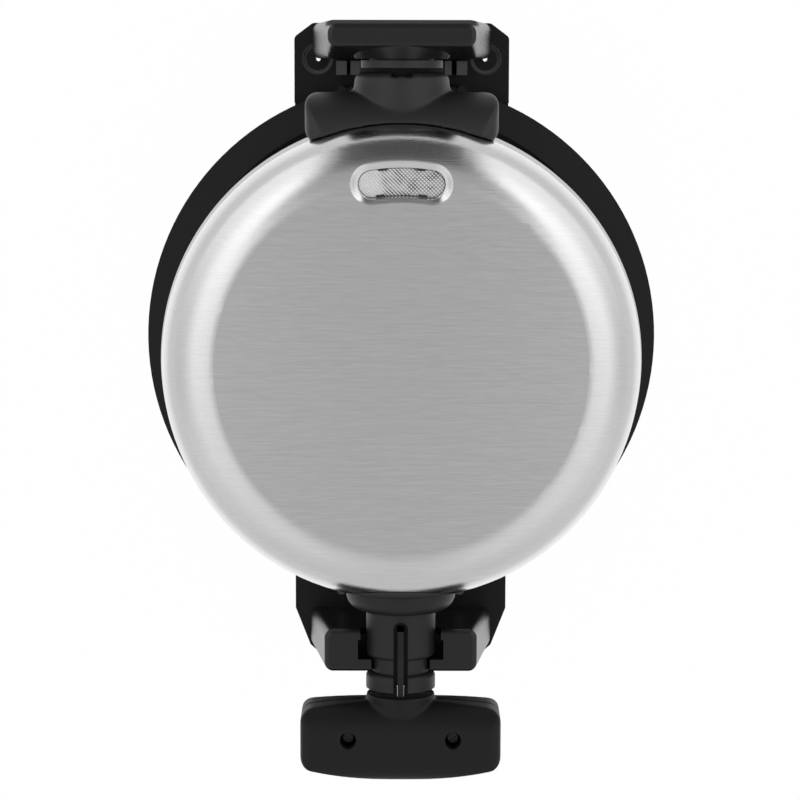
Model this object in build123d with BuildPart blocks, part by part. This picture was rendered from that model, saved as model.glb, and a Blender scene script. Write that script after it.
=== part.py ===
from build123d import *
import os

# Rotating waffle maker: a round two-plate head turns about a front-to-rear axis between two posts on a long base.
# +Z is up, +Y points to the rear hinge, and the origin is on the table under the middle of the whole product.
# The head is laid out as heights above and below the turning axis, where its two halves meet.

os.makedirs("parts", exist_ok=True)

# Turning axis and the clearances that the moving pieces share
axis_z = 130.0
half_gap = 0.3
fit_gap = 0.2
running_gap = 0.06
free_gap = 0.3

# Steel covers, heights measured from the turning axis
rim_r = 106.0
rim_lip_w = 1.4
cover_h = 42.0
shoulder_r = 24.0
skirt_h = 8.5
flare_h = 6.5
rim_gap = 1.2
sheet = 1.0

# Signal lamp lens in its pressed pocket near the hinge
lens_arc_inset = 0.6
pocket_w = 18.0
pocket_half_angle = 9.2
pocket_depth = 4.0
lens_w = 11.7
lens_gap = 0.5
lens_flange_w = 15.6
lens_flange_t = 1.0
lens_body_h = 3.6
lamp_r = 2.7
lamp_len = 10.0
lamp_spacing = 18.0

# Cast grids, frame rings, reflectors and heaters
grid_back_h = 16.0
grid_plate_t = 3.0
grid_land_h = 0.6
grid_land_w = 7.5
cavity_draft = 1.5
stud_pitch = 18.0
stud_w = 11.0
stud_h = 9.0
stud_taper = 8.0
stud_margin = 10.0
ridge_w = 4.0
ridge_h = 11.0
frame_wall = 6.2
frame_gap = 0.7
frame_low_h = 1.0
ledge_t = 2.0
ledge_w = 7.2
reflector_h = 28.0
reflector_t = 0.8
reflector_slope_w = 4.0
reflector_flange_w = 8.0
heater_margin = 24.0
heater_tube_r = 3.5
heater_gap_angle = 40.0
terminal_r = 2.2
terminal_h = 8.0
thermostat_r = 8.0
thermostat_h = 6.0
thermostat_y = -20.0

# Front collar and slotted shaft, lengths measured forwards from the rim
collar_overlap = 7.2
collar_len = 14.0
collar_r = 24.5
collar_round = 8.0
collar_cap_arc_r = 126.0
shaft_r = 15.5
journal_r = 12.8
journal_play_rear = 0.9
journal_play_front = 0.5
journal_round = 2.4
shaft_nose = 8.0
slot_w = 6.4
slot_setback = 3.2
slot_floor_h = 6.5
guide_w = 3.2

# Front post with the open saddle
post_gap = 8.2
horn_t = 19.2
horn_half_w = 34.0
horn_h = 6.0
saddle_front_wall = 5.3
saddle_rear_wall = 4.9
saddle_pocket_half_w = 19.1
saddle_pocket_depth = 23.0
saddle_rear_r = 18.0
front_foot_t = 18.4
front_foot_half_w = 44.0
front_foot_lean = 12.8
post_wall = 2.5
post_corner_r = 4.0
horn_edge_r = 2.2

# Sliding tongue and folding handle
stub_gap = 2.6
tongue_t = 2.8
tongue_top_h = 12.2
tongue_low_h = 1.2
tongue_setback = 8.2
tongue_nose = 3.8
eye_r = 6.3
pivot_y_from_nose = 8.8
pivot_h = -6.0
pivot_pin_r = 2.5
pivot_pin_len = 18.0
knuckle_r = 8.4
knuckle_half_w = 16.2
tongue_slot_w = 3.6
tongue_room = 0.6
slot_to_rear = 7.5
slot_to_front = 1.5
nose_room_len = 4.5
nose_room_h = 11.0
stub_len = 8.0
stub_r = 15.4
bar_step = 2.6
bar_depth = 35.1
bar_half_w = 44.8
bar_rear_bow = 3.2
bar_front_bow = 6.0
bar_corner_r = 6.0
bar_half_h = 17.0
bar_rear_r = 14.0
bar_front_r = 7.0
bar_end_r = 5.0
knuckle_notch = 10.3
handle_screw_x = 23.4
handle_screw_from_front = 19.0
handle_screw_r = 1.5
handle_head_r = 3.1
handle_head_h = 2.4
handle_recess_r = 3.5
handle_recess_depth = 8.5
handle_screw_len = 16.0

# Rear housing, neck, hinge and trunnion, lengths measured rearwards from the rim
housing_depth = 11.4
housing_reach = 9.6
housing_half_w = 42.0
housing_half_h = 25.0
housing_corner_r = 9.0
housing_rear_r = 20.0
housing_plan_r = 5.0
housing_wall = 2.5
neck_len = 8.8
neck_r = 21.0
neck_flare = 3.0
neck_flare_half_h = 6.0
neck_run = 12.0
neck_edge_r = 4.0
drum_gap = 1.8
drum_t = 3.2
drum_r = 18.0
boss_gap = 0.7
hinge_knuckle_r = 2.0
hinge_pin_r = 1.2
hinge_centre_half = 4.0
hinge_side_gap = 0.3
hinge_knuckle_len = 4.0
hinge_slot_rise = 1.1
plug_len = 7.6
trunnion_r = 14.0
trunnion_len = 12.8
wire_bore_r = 4.0
wire_bore_drop = 6.0
bush_wall = 3.0
bush_len = 9.7
clip_t = 0.8
clip_r = 16.4
clip_groove_depth = 1.4

# Rear post
rear_post_t = 16.9
rear_foot_half_w = 42.6
rear_waist_half_w = 34.0
rear_top_half_w = 31.8
rear_top_t = 9.6
rear_top_setback = 2.0
rear_waist_z = 128.0
rear_top_z = 155.0
boss_r = 24.4
boss_front_r = 20.4
boss_cone_len = 5.0
boss_len = 10.1

# Base
foot_h = 3.0
foot_r = 7.5
base_top_z = 22.0
bridge_top_z = 14.7
base_half_w = 51.2
base_wall = 2.5
base_corner_x = 8.8
base_corner_y = 6.6
base_front_len = 4.8
base_front_half_w = 38.5
base_taper_start = 18.4
base_round = 3.0
channel_gap = 2.5
bottom_t = 2.2
drain_hole_r = 1.3
drain_recess_r = 7.0
drain_recess_depth = 1.2
column_r = 4.2
pilot_r = 1.2
peg_r = 2.3
peg_x = 28.6
peg_rear_inset = 4.0
peg_front_gap = 3.0
rib_h = 11.0
rib_depth = 6.6
rib_outer_x = 28.5
rib_outer_w = 5.0
rib_inner_x = 22.0
rib_inner_left_w = 4.4
rib_inner_right_w = 3.2
rib_setback = 1.0
screw_r = 1.5
screw_head_r = 3.0
screw_head_h = 2.2
post_screw_x = 25.0
post_screw_len = 14.0
cover_screw_x = 37.0
cover_screw_rear_inset = 8.0
cover_screw_front_inset = 12.0
cover_screw_len = 9.0
gland_r = 5.0
gland_bore_r = 3.3
gland_lip_r = 6.4
gland_lip_t = 1.5
gland_z = 12.5

# Drip tray
tray_reach = 15.0
tray_rim_z = 34.0
tray_t = 2.0
tray_lip_h = 4.0
tray_boss_rise = 1.0
tray_flange_w = 12.5
tray_slope_w = 10.5
tray_flange_drop = 0.8

# Radii and places worked out from the lengths above
flat_r = rim_r - rim_lip_w - shoulder_r
lens_arc_r = flat_r - lens_arc_inset
frame_out_r = flat_r + shoulder_r - sheet - fit_gap
grid_r = frame_out_r - frame_wall - frame_gap
cavity_r = grid_r - grid_land_w
stud_reach_r = cavity_r - stud_margin
ledge_in_r = grid_r + frame_gap - ledge_w
reflector_r = ledge_in_r - reflector_slope_w
reflector_flange_r = ledge_in_r + reflector_flange_w
heater_ring_r = reflector_r - heater_margin
tray_r = rim_r + tray_reach
tray_flange_r = tray_r - tray_flange_w
tray_floor_r = tray_flange_r - tray_slope_w
channel_half = tray_flange_r + channel_gap
front_reach = (rim_r - collar_overlap + collar_len + post_gap + horn_t + shaft_nose + stub_gap
               + bar_step + bar_depth)
rear_reach = rim_r + housing_depth + neck_len + drum_gap + drum_t + boss_gap + rear_post_t
head_y = (front_reach - rear_reach) / 2
collar_back_y = head_y - rim_r + collar_overlap
collar_front_y = collar_back_y - collar_len
horn_back_y = collar_front_y - post_gap
horn_front_y = horn_back_y - horn_t
shaft_front_y = horn_front_y - shaft_nose
stub_back_y = shaft_front_y - stub_gap
bar_back_y = stub_back_y - bar_step
bar_front_y = bar_back_y - bar_depth
pivot_y = shaft_front_y - pivot_y_from_nose
pivot_z = axis_z + pivot_h
journal_back_y = horn_front_y + saddle_front_wall + journal_play_rear
journal_front_y = horn_front_y - journal_play_front
housing_back_y = head_y + rim_r + housing_depth
neck_back_y = housing_back_y + neck_len
drum_front_y = neck_back_y + drum_gap
drum_back_y = drum_front_y + drum_t
boss_front_y = drum_back_y + boss_gap
base_back_y = boss_front_y + rear_post_t
hinge_y = neck_back_y - neck_edge_r
hinge_h = neck_r - neck_edge_r
hinge_z = axis_z + hinge_h
front_foot_y = (horn_back_y + horn_front_y) / 2 - front_foot_lean
rear_foot_y = (boss_front_y + base_back_y) / 2
base_front_y = front_foot_y - front_foot_t / 2 - base_front_len
base_z = foot_h
split_plane = Plane.XY.offset(axis_z)
head_axis = Axis((0, head_y, 0), (0, 0, 1))
turning_axis = Axis((0, 0, axis_z), (0, 1, 0))
profile_plane = Plane(origin=(0, head_y, axis_z), x_dir=(1, 0, 0), z_dir=(0, -1, 0))
hinge_plane = Plane(origin=(0, hinge_y, hinge_z), x_dir=(0, 1, 0), z_dir=(1, 0, 0))
pivot_plane = Plane(origin=(0, pivot_y, pivot_z), x_dir=(0, 1, 0), z_dir=(1, 0, 0))


def head_plane(height):
    """Level plane on the head's own centre line, at a height from the turning axis."""
    return Plane(origin=(0, head_y, axis_z + height))


def axis_plane(y):
    """Upright plane across the turning axis. Extrusions from it run to the front."""
    return Plane(origin=(0, y, axis_z), x_dir=(1, 0, 0), z_dir=(0, -1, 0))


def round_bar(back_y, front_y, radius, mode=Mode.ADD):
    """Cylinder on the turning axis between two places along it."""
    with BuildSketch(axis_plane(back_y)) as disc:
        Circle(radius)
    extrude(disc.sketch, amount=back_y - front_y, mode=mode)


def cross_bar(plane, radius, left, right, mode=Mode.ADD):
    """Cylinder along X through a plane's origin, from left to right."""
    with BuildSketch(plane.offset(left)) as disc:
        Circle(radius)
    extrude(disc.sketch, amount=right - left, mode=mode)


def keep_upper_half():
    """Leave what lies above the meeting plane of the two halves."""
    split(bisect_by=split_plane.offset(half_gap), keep=Keep.TOP)


def dome(inset, mode=Mode.ADD):
    """Solid of the steel cover's outer form, moved inwards by the inset."""
    side_r = flat_r + shoulder_r - inset
    shoulder_h = cover_h - shoulder_r
    with BuildSketch(profile_plane) as profile:
        with BuildLine():
            Polyline((0, rim_gap), (0, cover_h - inset), (flat_r, cover_h - inset))
            CenterArc((flat_r, shoulder_h), shoulder_r - inset, 0, 90)
            Polyline((side_r, shoulder_h), (side_r, skirt_h), (rim_r - inset, flare_h))
            Polyline((rim_r - inset, flare_h), (rim_r - inset, rim_gap), (0, rim_gap))
        make_face()
    revolve(profile.sketch, axis=head_axis, mode=mode)


def collar_cap(gap, mode=Mode.ADD):
    """Block over the collar, as wide as the collar and with a slightly bowed rear edge."""
    with BuildSketch(split_plane) as plan:
        with Locations((0, collar_back_y + gap - collar_cap_arc_r)):
            Circle(collar_cap_arc_r + gap)
        with Locations((0, collar_back_y - collar_len)):
            Rectangle(2 * (collar_r + gap), 4 * collar_len, mode=Mode.INTERSECT)
    extrude(plan.sketch, amount=cover_h, mode=mode)


def cover_shell():
    """Pressed steel cover with the opening for the front collar and its cap."""
    dome(0)
    dome(sheet, mode=Mode.SUBTRACT)
    collar_cap(fit_gap, mode=Mode.SUBTRACT)


def ring_slot(width, height, amount, mode=Mode.ADD):
    """Rounded slot bent round the head's centre, at the hinge side, extruded upwards."""
    with BuildSketch(head_plane(height)) as slot:
        SlotArc(
            Edge.make_circle(lens_arc_r, start_angle=90 - pocket_half_angle, end_angle=90 + pocket_half_angle),
            width,
        )
    extrude(slot.sketch, amount=amount, mode=mode)


# Pressed steel covers
with BuildPart() as lower_cover:
    cover_shell()
    mirror(about=split_plane, mode=Mode.REPLACE)

lower_cover.part.label = "lower_cover"
export_step(lower_cover.part, "parts/lower_cover.step")

pocket_floor_h = cover_h - pocket_depth - sheet
with BuildPart() as pocket_wall:
    dome(0)
    ring_slot(pocket_w + 2 * sheet, pocket_floor_h, pocket_depth + sheet, mode=Mode.INTERSECT)

with BuildPart() as upper_cover:
    cover_shell()
    add(pocket_wall.part)
    ring_slot(pocket_w, pocket_floor_h + sheet, pocket_depth, mode=Mode.SUBTRACT)
    ring_slot(lens_w + 2 * lens_gap, pocket_floor_h, pocket_depth, mode=Mode.SUBTRACT)

upper_cover.part.label = "upper_cover"
export_step(upper_cover.part, "parts/upper_cover.step")

# Clear lens with its flange under the pocket's floor, and the two lamps below it
lens_low_h = pocket_floor_h - fit_gap - lens_flange_t
with BuildPart() as lamp_lens:
    ring_slot(lens_flange_w, lens_low_h, lens_flange_t)
    ring_slot(lens_w, lens_low_h, lens_body_h)

lamp_lens.part.label = "lamp_lens"
export_step(lamp_lens.part, "parts/lamp_lens.step")

lamp_z = axis_z + lens_low_h - free_gap - lamp_r
lamp_plane = Plane(origin=(0, head_y + lens_arc_r, lamp_z), x_dir=(0, 1, 0), z_dir=(1, 0, 0))
with BuildPart() as signal_lamps:
    for side in (-1, 1):
        middle = side * lamp_spacing / 2
        cross_bar(lamp_plane, lamp_r, middle - lamp_len / 2, middle + lamp_len / 2)

signal_lamps.part.label = "signal_lamps"
export_step(signal_lamps.part, "parts/signal_lamps.step")

# Moulded frame rings that carry the grids inside the covers
ledge_h = grid_back_h + fit_gap
with BuildPart() as upper_frame:
    with BuildSketch(profile_plane):
        with BuildLine():
            Polyline(
                (grid_r + frame_gap, frame_low_h),
                (frame_out_r, frame_low_h),
                (frame_out_r, ledge_h + ledge_t),
                (ledge_in_r, ledge_h + ledge_t),
                (ledge_in_r, ledge_h),
                (grid_r + frame_gap, ledge_h),
                close=True,
            )
        make_face()
    revolve(axis=head_axis)

upper_frame.part.label = "upper_frame"
export_step(upper_frame.part, "parts/upper_frame.step")

with BuildPart() as lower_frame:
    mirror(upper_frame.part, about=split_plane)

lower_frame.part.label = "lower_frame"
export_step(lower_frame.part, "parts/lower_frame.step")

# Cast grids with square studs and a cross that parts the waffle into quarters
stud_steps = range(-6, 6)
stud_centres = [((i + 0.5) * stud_pitch, (j + 0.5) * stud_pitch) for i in stud_steps for j in stud_steps]
stud_centres = [c for c in stud_centres if c[0] ** 2 + c[1] ** 2 < stud_reach_r ** 2]
grid_floor_h = grid_back_h - grid_plate_t
with BuildPart() as lower_grid:
    with BuildSketch(profile_plane):
        with BuildLine():
            Polyline(
                (0, -grid_back_h),
                (grid_r, -grid_back_h),
                (grid_r, -grid_land_h),
                (cavity_r, -grid_land_h),
                (cavity_r - cavity_draft, -grid_floor_h),
                (0, -grid_floor_h),
                close=True,
            )
        make_face()
    revolve(axis=head_axis)
    with BuildSketch(head_plane(-grid_floor_h)):
        Rectangle(2 * cavity_r - ridge_w, ridge_w)
        Rectangle(ridge_w, 2 * cavity_r - ridge_w)
    extrude(amount=ridge_h)
    with BuildSketch(head_plane(-grid_floor_h)):
        with Locations(*stud_centres):
            Rectangle(stud_w, stud_w)
    extrude(amount=stud_h, taper=stud_taper)

lower_grid.part.label = "lower_grid"
export_step(lower_grid.part, "parts/lower_grid.step")

with BuildPart() as upper_grid:
    mirror(lower_grid.part, about=split_plane)

upper_grid.part.label = "upper_grid"
export_step(upper_grid.part, "parts/upper_grid.step")

# Tubular heaters behind the grids, open towards the hinge where their terminals stand
heater_h = grid_back_h + free_gap + heater_tube_r
with BuildPart() as upper_heater:
    with BuildLine(head_plane(heater_h)) as heater_path:
        CenterArc((0, 0), heater_ring_r, 90 + heater_gap_angle / 2, 360 - heater_gap_angle)
    with BuildSketch(Plane(origin=heater_path.wire() @ 0, z_dir=heater_path.wire() % 0)):
        Circle(heater_tube_r)
    sweep(path=heater_path.wire())
    with BuildSketch(head_plane(heater_h)):
        with PolarLocations(heater_ring_r, 2, 90 - heater_gap_angle / 2, heater_gap_angle, endpoint=True):
            Circle(terminal_r)
    extrude(amount=terminal_h)

upper_heater.part.label = "upper_heater"
export_step(upper_heater.part, "parts/upper_heater.step")

with BuildPart() as lower_heater:
    mirror(upper_heater.part, about=split_plane)

lower_heater.part.label = "lower_heater"
export_step(lower_heater.part, "parts/lower_heater.step")

# Bimetal thermostats on the grids' backs
with BuildPart() as upper_thermostat:
    with BuildSketch(head_plane(grid_back_h)):
        with Locations((0, thermostat_y)):
            Circle(thermostat_r)
    extrude(amount=thermostat_h)
    with BuildSketch(head_plane(grid_back_h + thermostat_h)):
        with Locations((0, thermostat_y)):
            Rectangle(thermostat_r, thermostat_r / 2)
    extrude(amount=thermostat_h / 2)

upper_thermostat.part.label = "upper_thermostat"
export_step(upper_thermostat.part, "parts/upper_thermostat.step")

with BuildPart() as lower_thermostat:
    mirror(upper_thermostat.part, about=split_plane)

lower_thermostat.part.label = "lower_thermostat"
export_step(lower_thermostat.part, "parts/lower_thermostat.step")

# Sheet reflectors over the heaters
reflector_low_h = ledge_h + ledge_t + fit_gap
with BuildPart() as upper_reflector:
    with BuildSketch(profile_plane):
        with BuildLine():
            Polyline(
                (0, reflector_h + reflector_t),
                (reflector_r, reflector_h + reflector_t),
                (ledge_in_r, reflector_low_h + reflector_t),
                (reflector_flange_r, reflector_low_h + reflector_t),
                (reflector_flange_r, reflector_low_h),
                (ledge_in_r - reflector_t, reflector_low_h),
                (reflector_r - reflector_t, reflector_h),
                (0, reflector_h),
                close=True,
            )
        make_face()
    revolve(axis=head_axis)

upper_reflector.part.label = "upper_reflector"
export_step(upper_reflector.part, "parts/upper_reflector.step")

with BuildPart() as lower_reflector:
    mirror(upper_reflector.part, about=split_plane)

lower_reflector.part.label = "lower_reflector"
export_step(lower_reflector.part, "parts/lower_reflector.step")


def collar_and_shaft():
    """Upper half of the front collar, the saddle journal and the shaft's nose."""
    dome(0)
    collar_cap(0, mode=Mode.INTERSECT)
    round_bar(collar_back_y - collar_overlap / 2, collar_front_y, collar_r)
    front_rim = faces().sort_by(Axis.Y)[0].edges()
    fillet(front_rim, radius=collar_round)
    round_bar(collar_front_y + collar_round, journal_back_y, shaft_r)
    round_bar(journal_back_y, journal_front_y, journal_r)
    round_bar(journal_front_y, shaft_front_y, shaft_r)
    rims = edges().filter_by(GeomType.CIRCLE).filter_by(lambda rim: abs(rim.radius - shaft_r) < 0.01)
    rims = rims.filter_by(lambda rim: journal_front_y - 0.1 < rim.center().Y < journal_back_y + 0.1)
    fillet(rims, radius=journal_round)
    keep_upper_half()
    with BuildSketch(head_plane(0)) as inside:
        Circle(flat_r + shoulder_r - sheet)
    extrude(inside.sketch, amount=ledge_h + ledge_t + free_gap, mode=Mode.SUBTRACT)


# Front collar with half of the shaft on each half of the head
with BuildPart() as lower_shaft:
    collar_and_shaft()
    mirror(about=split_plane, mode=Mode.REPLACE)

lower_shaft.part.label = "lower_shaft"
export_step(lower_shaft.part, "parts/lower_shaft.step")

slot_back_y = collar_front_y - slot_setback
slot_mid_y = slot_back_y - slot_w / 2
with BuildPart() as upper_shaft:
    collar_and_shaft()
    with BuildSketch(Plane.XY.offset(axis_z + slot_floor_h)):
        with Locations((0, slot_mid_y)):
            Circle(slot_w / 2)
        with Locations((0, (slot_mid_y + shaft_front_y) / 2)):
            Rectangle(slot_w, slot_mid_y - shaft_front_y)
    extrude(amount=shaft_r, mode=Mode.SUBTRACT)
    with BuildSketch(split_plane):
        with Locations((0, (slot_mid_y + shaft_front_y) / 2)):
            Rectangle(guide_w, slot_mid_y - shaft_front_y)
    extrude(amount=slot_floor_h, mode=Mode.SUBTRACT)

upper_shaft.part.label = "upper_shaft"
export_step(upper_shaft.part, "parts/upper_shaft.step")

# Flat tongue that slides in the slot and carries the handle's pivot
tongue_back_y = collar_front_y - tongue_setback
with BuildPart() as handle_tongue:
    with BuildSketch(pivot_plane.offset(-tongue_t / 2)):
        with BuildLine():
            Polyline(
                (tongue_back_y - pivot_y, tongue_low_h - pivot_h),
                (tongue_back_y - pivot_y, tongue_top_h - pivot_h),
                (stub_back_y - pivot_y - 1.2, tongue_top_h - pivot_h),
                (-eye_r * 0.6, eye_r * 0.75),
                (eye_r * 0.8, -eye_r * 0.55),
                (pivot_y_from_nose - 0.8, tongue_low_h - pivot_h),
                close=True,
            )
        make_face()
        Circle(eye_r)
        Circle(pivot_pin_r + running_gap, mode=Mode.SUBTRACT)
    extrude(amount=tongue_t)

handle_tongue.part.label = "handle_tongue"
export_step(handle_tongue.part, "parts/handle_tongue.step")

with BuildPart() as pivot_pin:
    cross_bar(pivot_plane, pivot_pin_r, -pivot_pin_len / 2, pivot_pin_len / 2)

pivot_pin.part.label = "pivot_pin"
export_step(pivot_pin.part, "parts/pivot_pin.step")

# Rounded space behind and below the pivot, so that the handle clears the shaft as it folds down
with BuildPart() as knuckle_relief:
    with BuildSketch(pivot_plane.offset(-knuckle_half_w)):
        with Locations((bar_half_h / 2, -bar_half_h / 2)):
            Rectangle(bar_half_h, bar_half_h)
        with Locations((-knuckle_notch / 2, -(knuckle_r + bar_half_h) / 2)):
            Rectangle(knuckle_notch, bar_half_h - knuckle_r)
        Circle(knuckle_r, mode=Mode.SUBTRACT)
    extrude(amount=2 * knuckle_half_w)

bar_mid_y = (bar_back_y + bar_front_y) / 2
handle_screw_y = bar_front_y + handle_screw_from_front


def handle_block():
    """Cross bar with bowed and rounded front and rear edges, and the round stub in line with the shaft."""
    with BuildSketch(Plane.XY.offset(axis_z - bar_half_h)) as plan:
        with BuildLine():
            ThreePointArc(
                (-bar_half_w, bar_back_y - bar_rear_bow),
                (0, bar_back_y),
                (bar_half_w, bar_back_y - bar_rear_bow),
            )
            Line((bar_half_w, bar_back_y - bar_rear_bow), (bar_half_w, bar_front_y + bar_front_bow))
            ThreePointArc(
                (bar_half_w, bar_front_y + bar_front_bow),
                (0, bar_front_y),
                (-bar_half_w, bar_front_y + bar_front_bow),
            )
            Line((-bar_half_w, bar_front_y + bar_front_bow), (-bar_half_w, bar_back_y - bar_rear_bow))
        make_face()
        fillet(vertices(), radius=bar_corner_r)
    extrude(plan.sketch, amount=2 * bar_half_h)
    with BuildSketch(Plane(origin=(-bar_half_w, bar_mid_y, axis_z), x_dir=(0, 1, 0), z_dir=(1, 0, 0))) as side:
        Rectangle(bar_depth, 2 * bar_half_h)
        fillet(vertices().filter_by(lambda corner: corner.X > 0), radius=bar_rear_r)
        fillet(vertices().filter_by(lambda corner: corner.X < -bar_depth / 2 + 0.1), radius=bar_front_r)
    extrude(side.sketch, amount=2 * bar_half_w, mode=Mode.INTERSECT)
    with BuildSketch(axis_plane(bar_back_y)) as across:
        RectangleRounded(2 * bar_half_w, 2 * bar_half_h, bar_end_r)
    extrude(across.sketch, amount=bar_depth, mode=Mode.INTERSECT)
    round_bar(stub_back_y, stub_back_y - stub_len, stub_r)


def tongue_slot():
    """Room for the tongue inside the handle, at rest and while the handle folds."""
    room_top_h = tongue_top_h - pivot_h + tongue_room
    with BuildSketch(pivot_plane.offset(-tongue_slot_w / 2)) as room:
        Circle(eye_r + tongue_room)
        with Locations(((slot_to_rear - slot_to_front) / 2, (room_top_h - bar_half_h) / 2)):
            Rectangle(slot_to_rear + slot_to_front, room_top_h + bar_half_h)
        with Locations((-nose_room_len / 2, nose_room_h / 2)):
            Rectangle(nose_room_len, nose_room_h)
    extrude(room.sketch, amount=tongue_slot_w, mode=Mode.SUBTRACT)


# Folding handle in two shells, screwed together from above
with BuildPart() as handle_top:
    handle_block()
    split(bisect_by=split_plane, keep=Keep.TOP)
    tongue_slot()
    with BuildSketch(Plane.XY.offset(axis_z + bar_half_h - handle_recess_depth)):
        with Locations((handle_screw_x, handle_screw_y), (-handle_screw_x, handle_screw_y)):
            Circle(handle_recess_r)
    extrude(amount=handle_recess_depth, mode=Mode.SUBTRACT)
    with BuildSketch(split_plane):
        with Locations((handle_screw_x, handle_screw_y), (-handle_screw_x, handle_screw_y)):
            Circle(handle_screw_r + fit_gap)
    extrude(amount=bar_half_h, mode=Mode.SUBTRACT)

handle_top.part.label = "handle_top"
export_step(handle_top.part, "parts/handle_top.step")

handle_head_z = axis_z + bar_half_h - handle_recess_depth
with BuildPart() as handle_bottom:
    handle_block()
    split(bisect_by=split_plane, keep=Keep.BOTTOM)
    tongue_slot()
    add(knuckle_relief.part, mode=Mode.SUBTRACT)
    cross_bar(pivot_plane, pivot_pin_r, -pivot_pin_len / 2, pivot_pin_len / 2, mode=Mode.SUBTRACT)
    with BuildSketch(Plane.XY.offset(handle_head_z - handle_screw_len - free_gap)):
        with Locations((handle_screw_x, handle_screw_y), (-handle_screw_x, handle_screw_y)):
            Circle(handle_screw_r)
    extrude(amount=bar_half_h, mode=Mode.SUBTRACT)

handle_bottom.part.label = "handle_bottom"
export_step(handle_bottom.part, "parts/handle_bottom.step")

with BuildPart() as handle_screws:
    with BuildSketch(Plane.XY.offset(handle_head_z)):
        with Locations((handle_screw_x, handle_screw_y), (-handle_screw_x, handle_screw_y)):
            Circle(handle_head_r)
    extrude(amount=handle_head_h)
    with BuildSketch(Plane.XY.offset(handle_head_z - handle_screw_len)):
        with Locations((handle_screw_x, handle_screw_y), (-handle_screw_x, handle_screw_y)):
            Circle(handle_screw_r)
    extrude(amount=handle_screw_len)

handle_screws.part.label = "handle_screws"
export_step(handle_screws.part, "parts/handle_screws.step")


def housing_block(inset, mode=Mode.ADD):
    """Rounded block of the hinge housing, drawn inwards by the inset except at the open front."""
    half_w = housing_half_w - inset
    half_h = housing_half_h - inset
    depth = housing_depth + housing_reach - inset
    side = Plane(origin=(-half_w, housing_back_y - inset, axis_z), x_dir=(0, 1, 0), z_dir=(1, 0, 0))
    plan = Plane(origin=(0, housing_back_y - inset - depth / 2, axis_z - half_h))
    with BuildPart(mode=Mode.PRIVATE) as block:
        with BuildSketch(axis_plane(housing_back_y - inset)):
            RectangleRounded(2 * half_w, 2 * half_h, housing_corner_r - inset)
        extrude(amount=depth)
        with BuildSketch(side):
            with Locations((-depth, 0)):
                RectangleRounded(2 * depth, 2 * half_h, housing_rear_r - inset)
        extrude(amount=2 * half_w, mode=Mode.INTERSECT)
        with BuildSketch(plan):
            RectangleRounded(2 * half_w, depth, housing_plan_r - inset)
        extrude(amount=2 * half_h, mode=Mode.INTERSECT)
    add(block.part, mode=mode)


def housing_half():
    """Upper half of the hinge housing that hugs the cover's rim, with the flared neck behind it."""
    housing_block(0)
    neck_mid_r = neck_r - neck_edge_r
    with BuildSketch(split_plane) as neck:
        with BuildLine():
            Polyline((0, neck_back_y), (0, housing_back_y - neck_run), (neck_r, housing_back_y - neck_run))
            Line((neck_r, housing_back_y - neck_run), (neck_r, neck_back_y - neck_edge_r))
            CenterArc((neck_mid_r, neck_back_y - neck_edge_r), neck_edge_r, 0, 90)
            Line((neck_mid_r, neck_back_y), (0, neck_back_y))
        make_face()
    revolve(neck.sketch, axis=turning_axis)
    with BuildPart(mode=Mode.PRIVATE) as flare:
        with BuildSketch(split_plane):
            with BuildLine():
                Line((0, housing_back_y + neck_flare), (0, housing_back_y))
                Line((0, housing_back_y), (neck_r + neck_flare, housing_back_y))
                CenterArc((neck_r + neck_flare, housing_back_y + neck_flare), neck_flare, 180, 90)
                Line((neck_r, housing_back_y + neck_flare), (0, housing_back_y + neck_flare))
            make_face()
        revolve(axis=turning_axis)
        with BuildSketch(axis_plane(neck_back_y)):
            Rectangle(4 * neck_r, 2 * neck_flare_half_h)
        extrude(amount=2 * neck_len, mode=Mode.INTERSECT)
    add(flare.part)
    keep_upper_half()
    housing_block(housing_wall, mode=Mode.SUBTRACT)
    dome(-fit_gap, mode=Mode.SUBTRACT)
    with BuildSketch(head_plane(0)) as rim:
        Circle(rim_r + fit_gap)
    extrude(rim.sketch, amount=flare_h, mode=Mode.SUBTRACT)


# Rear housings: the upper one carries the lid's two hinge knuckles, the lower one holds the trunnion
with BuildPart() as upper_housing:
    housing_half()
    round_bar(neck_back_y - housing_wall, housing_back_y - 2 * housing_wall, neck_r - housing_wall,
              mode=Mode.SUBTRACT)
    for side in (-1, 1):
        near = side * (hinge_centre_half + hinge_side_gap)
        far = side * (hinge_centre_half + hinge_side_gap + hinge_knuckle_len)
        cross_bar(hinge_plane, hinge_knuckle_r, min(near, far), max(near, far))
        cross_bar(hinge_plane, hinge_pin_r + running_gap, min(near, far), max(near, far), mode=Mode.SUBTRACT)
    slot_r = hinge_knuckle_r + free_gap
    with BuildSketch(hinge_plane.offset(-hinge_centre_half - hinge_side_gap)):
        Circle(slot_r)
        Polygon(
            (-slot_r, -hinge_h),
            (-slot_r, 0),
            (0, slot_r),
            (neck_edge_r + 2, slot_r + hinge_slot_rise),
            (neck_edge_r + 2, -hinge_h),
            align=None,
        )
    extrude(amount=2 * (hinge_centre_half + hinge_side_gap), mode=Mode.SUBTRACT)
    with BuildSketch(split_plane):
        with Locations((0, neck_back_y)):
            Rectangle(2 * neck_r, neck_edge_r)
    extrude(amount=3 * half_gap, mode=Mode.SUBTRACT)

upper_housing.part.label = "upper_housing"
export_step(upper_housing.part, "parts/upper_housing.step")

with BuildPart() as lower_housing:
    housing_half()
    round_bar(neck_back_y, housing_back_y - 2 * housing_wall, neck_r - housing_wall, mode=Mode.SUBTRACT)
    mirror(about=split_plane, mode=Mode.REPLACE)

lower_housing.part.label = "lower_housing"
export_step(lower_housing.part, "parts/lower_housing.step")

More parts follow.
